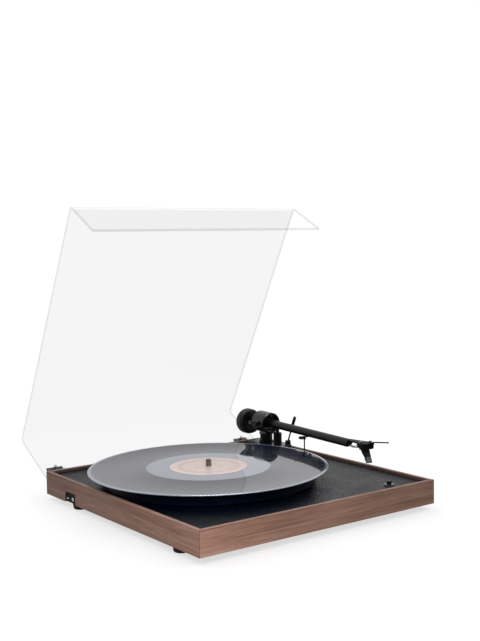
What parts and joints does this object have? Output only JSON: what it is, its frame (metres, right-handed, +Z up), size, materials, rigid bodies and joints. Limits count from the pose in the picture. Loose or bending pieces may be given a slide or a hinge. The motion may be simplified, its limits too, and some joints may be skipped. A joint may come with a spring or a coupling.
{
  "type": "turntable record player",
  "caption": "Slim belt-drive record player: mitred walnut plinth, gloss platter with a record, straight black tonearm, and a folded clear cover hinged open at the back.",
  "frame": {"origin": "centre of the footprint, cover open, on the surface under the feet", "axes": "+X to the right seen from the front, +Y to the back, +Z up"},
  "size_m": [0.3542, 0.4368, 0.3774],
  "materials": {
    "walnut": "satin veneer",
    "deck": "pebbled black covering",
    "board": "raw fibreboard",
    "rubber": "matt",
    "black_plastic": "satin",
    "black_metal": "satin black",
    "black_alloy": "black anodised",
    "steel": "brushed",
    "chrome": "polished",
    "gold": "plated",
    "platter_black": "gloss black",
    "vinyl": "pressed grooves",
    "paper": "matt paper label",
    "felt": "felt",
    "acrylic": "clear",
    "clear_guard": "smoky clear",
    "pcb": "solder mask",
    "brass": "turned",
    "wire": "fine insulated wire"
  },
  "bodies": {
    "plinth": {"front_board": "walnut", "rear_board": "walnut", "left_board": "walnut", "right_board": "walnut", "corner_blocks": "board", "deck_panel": "deck", "bottom_panel": "board", "feet": "rubber", "base_screws": "steel", "switch_frame": "black_plastic", "jack_panel": "black_metal", "phono_jacks": "gold", "earth_post": "chrome", "power_inlet": "black_plastic", "back_screws": "steel", "circuit_board": "pcb", "motor": "steel", "bearing_housing": "brass", "thrust_ball": "chrome", "deck_screws": "steel", "button_bezel": "chrome", "button_switch": "black_plastic", "arm_base": "black_metal", "pivot_pillar": "black_metal", "lift_cylinder": "black_metal", "arm_rest": "black_metal", "hinge_brackets": "black_metal", "hinge_pins": "steel", "cover_bumpers": "rubber", "drive_belt": "rubber"},
    "platter_body": {"platter": "platter_black", "sub_platter": "black_plastic", "spindle": "chrome", "slip_mat": "felt"},
    "record_disc": {"record": "vinyl", "record_labels": "paper"},
    "motor_rotor": {"motor_shaft": "steel", "motor_pulley": "brass"},
    "arm_yoke": {"gimbal_ring": "black_alloy", "pivot_yoke": "black_alloy", "pivot_screws": "black_alloy"},
    "arm": {"pivot_hub": "black_alloy", "arm_tube": "black_alloy", "counterweight_shaft": "black_alloy", "headshell": "black_alloy", "finger_lift": "black_alloy", "cartridge_body": "black_plastic", "cartridge_screws": "black_alloy", "stylus": "black_plastic", "stylus_guard": "clear_guard", "cartridge_leads": "wire"},
    "weight": {"counterweight": "black_alloy"},
    "lift": {"lift_bar": "black_metal"},
    "lever": {"cue_lever": "black_metal"},
    "cover": {"cover_sheet": "acrylic", "hinge_clips": "black_metal", "clip_screws": "chrome"},
    "rocker": {"power_rocker": "black_plastic"},
    "button": {"start_button": "black_plastic"}
  },
  "joints": [
    {"name": "cover_hinge", "type": "hinge", "parent": "plinth", "child": "cover", "pos_m": [0.00415, 0.15559, 0.027], "axis": [1, 0, 0], "range_deg": [0, 62]},
    {"name": "platter_spin", "type": "hinge", "parent": "plinth", "child": "platter_body", "pos_m": [-0.02635, -0.02391, 0.047], "axis": [0, 0, 1], "continuous": true},
    {"name": "record_lift", "type": "slide", "parent": "platter_body", "child": "record_disc", "axis": [0, 0, 1], "range_m": [0, 0.012]},
    {"name": "motor_spin", "type": "hinge", "parent": "plinth", "child": "motor_rotor", "pos_m": [-0.10035, 0.05009, 0.027], "axis": [0, 0, 1], "continuous": true},
    {"name": "arm_swing", "type": "hinge", "parent": "plinth", "child": "arm_yoke", "pos_m": [0.15115, 0.09059, 0.047], "axis": [0, 0, -1], "range_deg": [0, 41]},
    {"name": "arm_raise", "type": "hinge", "parent": "arm_yoke", "child": "arm", "pos_m": [0.15115, 0.09059, 0.0707], "axis": [-0.9978, 0.0663, 0], "range_deg": [0, 5]},
    {"name": "weight_slide", "type": "slide", "parent": "arm", "child": "weight", "axis": [0.0663, 0.9978, 0], "range_m": [-0.012, 0.0012]},
    {"name": "lever_tip", "type": "hinge", "parent": "plinth", "child": "lever", "pos_m": [0.16355, 0.05559, 0.0454], "axis": [1, 0, 0], "range_deg": [0, 50]},
    {"name": "lift_slide", "type": "slide", "parent": "plinth", "child": "lift", "axis": [0, 0, 1], "range_m": [-0.0041, 0]},
    {"name": "rocker_tilt", "type": "hinge", "parent": "plinth", "child": "rocker", "pos_m": [-0.16265, 0.07709, 0.014], "axis": [0, 0, 1], "range_deg": [-18, 0]},
    {"name": "button_press", "type": "slide", "parent": "plinth", "child": "button", "axis": [0, 0, -1], "range_m": [0, 0.0025], "stiffness_N_per_m": 200}
  ],
  "couplings": [
    {"joint": "motor_spin", "follows": "platter_spin", "ratio": 11.667},
    {"joint": "lift_slide", "follows": "lever_tip", "m_per_rad": -0.0045}
  ]
}
